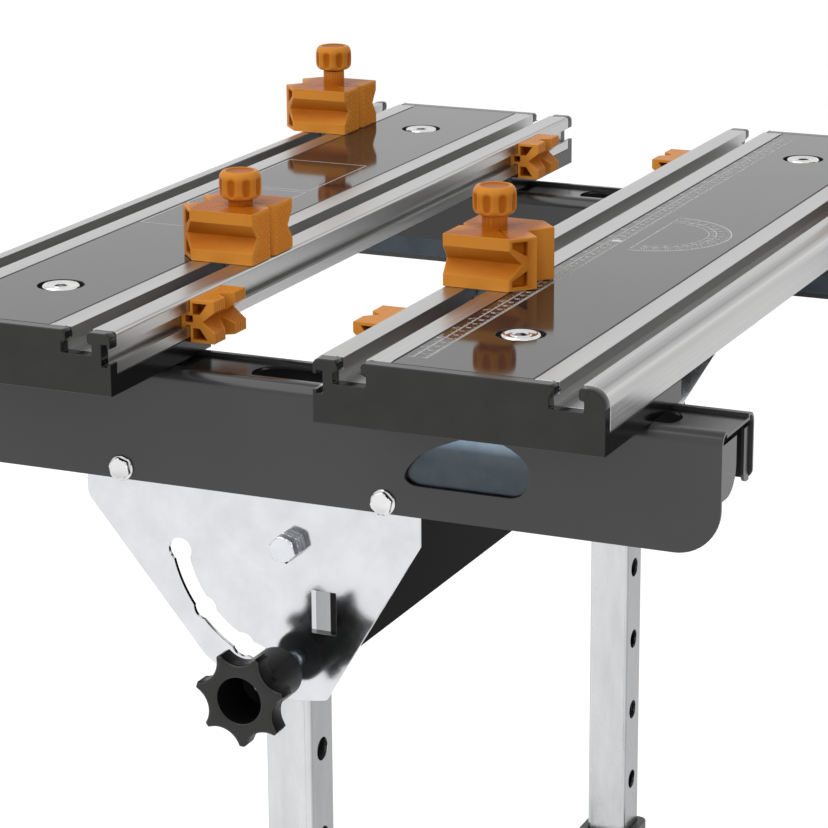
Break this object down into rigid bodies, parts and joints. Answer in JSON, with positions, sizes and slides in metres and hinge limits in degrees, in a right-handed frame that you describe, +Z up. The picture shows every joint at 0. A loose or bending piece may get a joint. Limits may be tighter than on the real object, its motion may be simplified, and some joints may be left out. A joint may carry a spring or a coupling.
{
  "type": "folding workbench",
  "caption": "Folding workbench with two sliding slotted tops on a tilting frame, clamp blocks, side jaws, telescopic legs and swivel feet.",
  "frame": {"origin": "on the floor, under the middle of the table frame", "axes": "+X along the tops, from the near end in the picture to the far end; +Y across the tops, from top b to top a; +Z up"},
  "size_m": [0.8, 0.622, 0.9689],
  "materials": {
    "aluminium": "satin, drawn along its length",
    "panel": "glossy dark grey",
    "cap_plastic": "fine texture",
    "bright_steel": "bright",
    "zinc_blue": "bluish zinc plating",
    "dark_paint": "semi-gloss powder coat",
    "bright_zinc": "bright zinc sheet",
    "tube_zinc": "bright zinc tube",
    "black_plastic": "satin",
    "rubber": "matt",
    "orange_plastic": "satin with a fine texture"
  },
  "bodies": {
    "stand": {"beam": "dark_paint", "leg_near": "tube_zinc", "leg_far": "tube_zinc", "leg_plugs": "black_plastic", "pivot_bolts": "zinc_blue"},
    "post_near": {"post_near": "dark_paint", "post_collar_near": "black_plastic", "foot_bolt_near": "zinc_blue"},
    "height_lock_near": {"height_lock_near": "black_plastic"},
    "foot_near": {"foot_bar_near": "dark_paint", "foot_pads_near": "rubber"},
    "post_far": {"post_far": "dark_paint", "post_collar_far": "black_plastic", "foot_bolt_far": "zinc_blue"},
    "height_lock_far": {"height_lock_far": "black_plastic"},
    "foot_far": {"foot_bar_far": "dark_paint", "foot_pads_far": "rubber"},
    "table": {"channel_near": "dark_paint", "channel_far": "dark_paint", "tilt_plate_near": "bright_zinc", "tilt_plate_far": "bright_zinc", "plate_bolts": "bright_steel"},
    "tilt_lock_near": {"plunger_near": "zinc_blue"},
    "star_near": {"star_knob_near": "black_plastic"},
    "tilt_lock_far": {"plunger_far": "zinc_blue"},
    "star_far": {"star_knob_far": "black_plastic"},
    "top_a": {"rail_a_outer": "aluminium", "rail_a_inner": "aluminium", "panel_a": "panel", "cap_a_near": "cap_plastic", "cap_a_far": "cap_plastic", "saddles_a": "zinc_blue"},
    "top_b": {"rail_b_outer": "aluminium", "rail_b_inner": "aluminium", "panel_b": "panel", "cap_b_near": "cap_plastic", "cap_b_far": "cap_plastic", "saddles_b": "zinc_blue"},
    "clamp_screw_a_near": {"clamp_screw_a_near": "bright_steel"},
    "block_a_near": {"block_a_near": "orange_plastic", "slot_nut_a_near": "zinc_blue"},
    "block_knob_a_near": {"block_knob_a_near": "orange_plastic"},
    "jaw_a_near": {"jaw_a_near": "orange_plastic"},
    "clamp_screw_a_far": {"clamp_screw_a_far": "bright_steel"},
    "block_a_far": {"block_a_far": "orange_plastic", "slot_nut_a_far": "zinc_blue"},
    "block_knob_a_far": {"block_knob_a_far": "orange_plastic"},
    "jaw_a_far": {"jaw_a_far": "orange_plastic"},
    "clamp_screw_b_near": {"clamp_screw_b_near": "bright_steel"},
    "block_b_near": {"block_b_near": "orange_plastic", "slot_nut_b_near": "zinc_blue"},
    "block_knob_b_near": {"block_knob_b_near": "orange_plastic"},
    "jaw_b_near": {"jaw_b_near": "orange_plastic"},
    "clamp_screw_b_far": {"clamp_screw_b_far": "bright_steel"},
    "block_b_far": {"block_b_far": "orange_plastic", "slot_nut_b_far": "zinc_blue"},
    "block_knob_b_far": {"block_knob_b_far": "orange_plastic"},
    "jaw_b_far": {"jaw_b_far": "orange_plastic"}
  },
  "joints": [
    {"name": "height_near", "type": "slide", "parent": "stand", "child": "post_near", "axis": [0, 0, 1], "range_m": [0, 0.1294]},
    {"name": "height_pin_near", "type": "slide", "parent": "post_near", "child": "height_lock_near", "axis": [0, -1, 0], "range_m": [-0.008, 0.006]},
    {"name": "foot_swivel_near", "type": "hinge", "parent": "post_near", "child": "foot_near", "pos_m": [-0.304, -0.01, 0.03], "axis": [0, 0, 1], "range_deg": [0, 90]},
    {"name": "height_far", "type": "slide", "parent": "stand", "child": "post_far", "axis": [0, 0, 1], "range_m": [0, 0.1294]},
    {"name": "height_pin_far", "type": "slide", "parent": "post_far", "child": "height_lock_far", "axis": [0, -1, 0], "range_m": [-0.008, 0.006]},
    {"name": "foot_swivel_far", "type": "hinge", "parent": "post_far", "child": "foot_far", "pos_m": [0.304, -0.01, 0.03], "axis": [0, 0, 1], "range_deg": [0, 90]},
    {"name": "table_tilt", "type": "hinge", "parent": "stand", "child": "table", "pos_m": [0, -0.016, 0.749], "axis": [-1, 0, 0], "range_deg": [0, 78.5]},
    {"name": "tilt_pin_near", "type": "slide", "parent": "stand", "child": "tilt_lock_near", "axis": [-1, 0, 0], "range_m": [-0.003, 0.01]},
    {"name": "star_spin_near", "type": "hinge", "parent": "tilt_lock_near", "child": "star_near", "pos_m": [-0.38, -0.01382, 0.66573], "axis": [-1, 0, 0], "continuous": true},
    {"name": "tilt_pin_far", "type": "slide", "parent": "stand", "child": "tilt_lock_far", "axis": [1, 0, 0], "range_m": [-0.003, 0.01]},
    {"name": "star_spin_far", "type": "hinge", "parent": "tilt_lock_far", "child": "star_far", "pos_m": [0.38, -0.01382, 0.66573], "axis": [1, 0, 0], "continuous": true},
    {"name": "top_a_slide", "type": "slide", "parent": "table", "child": "top_a", "axis": [0, -1, 0], "range_m": [-0.04, 0.045]},
    {"name": "top_b_slide", "type": "slide", "parent": "table", "child": "top_b", "axis": [0, 1, 0], "range_m": [-0.04, 0.045]},
    {"name": "clamp_turn_a_near", "type": "hinge", "parent": "top_a", "child": "clamp_screw_a_near", "pos_m": [-0.297, 0.16675, 0.87], "axis": [0, 0, 1], "continuous": true},
    {"name": "block_slide_a_near", "type": "slide", "parent": "top_a", "child": "block_a_near", "axis": [1, 0, 0], "range_m": [-0.185, 0.525]},
    {"name": "block_knob_turn_a_near", "type": "hinge", "parent": "block_a_near", "child": "block_knob_a_near", "pos_m": [-0.17, 0.09575, 0.94], "axis": [0, 0, 1], "continuous": true},
    {"name": "jaw_slide_a_near", "type": "slide", "parent": "top_a", "child": "jaw_a_near", "axis": [1, 0, 0], "range_m": [-0.095, 0.241]},
    {"name": "clamp_turn_a_far", "type": "hinge", "parent": "top_a", "child": "clamp_screw_a_far", "pos_m": [0.297, 0.16675, 0.87], "axis": [0, 0, 1], "continuous": true},
    {"name": "block_slide_a_far", "type": "slide", "parent": "top_a", "child": "block_a_far", "axis": [1, 0, 0], "range_m": [-0.632, 0.078]},
    {"name": "block_knob_turn_a_far", "type": "hinge", "parent": "block_a_far", "child": "block_knob_a_far", "pos_m": [0.277, 0.23775, 0.94], "axis": [0, 0, 1], "continuous": true},
    {"name": "jaw_slide_a_far", "type": "slide", "parent": "top_a", "child": "jaw_a_far", "axis": [1, 0, 0], "range_m": [-0.27, 0.066]},
    {"name": "clamp_turn_b_near", "type": "hinge", "parent": "top_b", "child": "clamp_screw_b_near", "pos_m": [-0.297, -0.16675, 0.87], "axis": [0, 0, 1], "continuous": true},
    {"name": "block_slide_b_near", "type": "slide", "parent": "top_b", "child": "block_b_near", "axis": [1, 0, 0], "range_m": [-0.1847, 0.5253]},
    {"name": "block_knob_turn_b_near", "type": "hinge", "parent": "block_b_near", "child": "block_knob_b_near", "pos_m": [-0.1703, -0.09575, 0.94], "axis": [0, 0, 1], "continuous": true},
    {"name": "jaw_slide_b_near", "type": "slide", "parent": "top_b", "child": "jaw_b_near", "axis": [1, 0, 0], "range_m": [-0.086, 0.25]},
    {"name": "clamp_turn_b_far", "type": "hinge", "parent": "top_b", "child": "clamp_screw_b_far", "pos_m": [0.297, -0.16675, 0.87], "axis": [0, 0, 1], "continuous": true},
    {"name": "block_slide_b_far", "type": "slide", "parent": "top_b", "child": "block_b_far", "axis": [1, 0, 0], "range_m": [-0.64, 0.07]},
    {"name": "block_knob_turn_b_far", "type": "hinge", "parent": "block_b_far", "child": "block_knob_b_far", "pos_m": [0.285, -0.23775, 0.94], "axis": [0, 0, 1], "continuous": true},
    {"name": "jaw_slide_b_far", "type": "slide", "parent": "top_b", "child": "jaw_b_far", "axis": [1, 0, 0], "range_m": [-0.252, 0.084]}
  ]
}
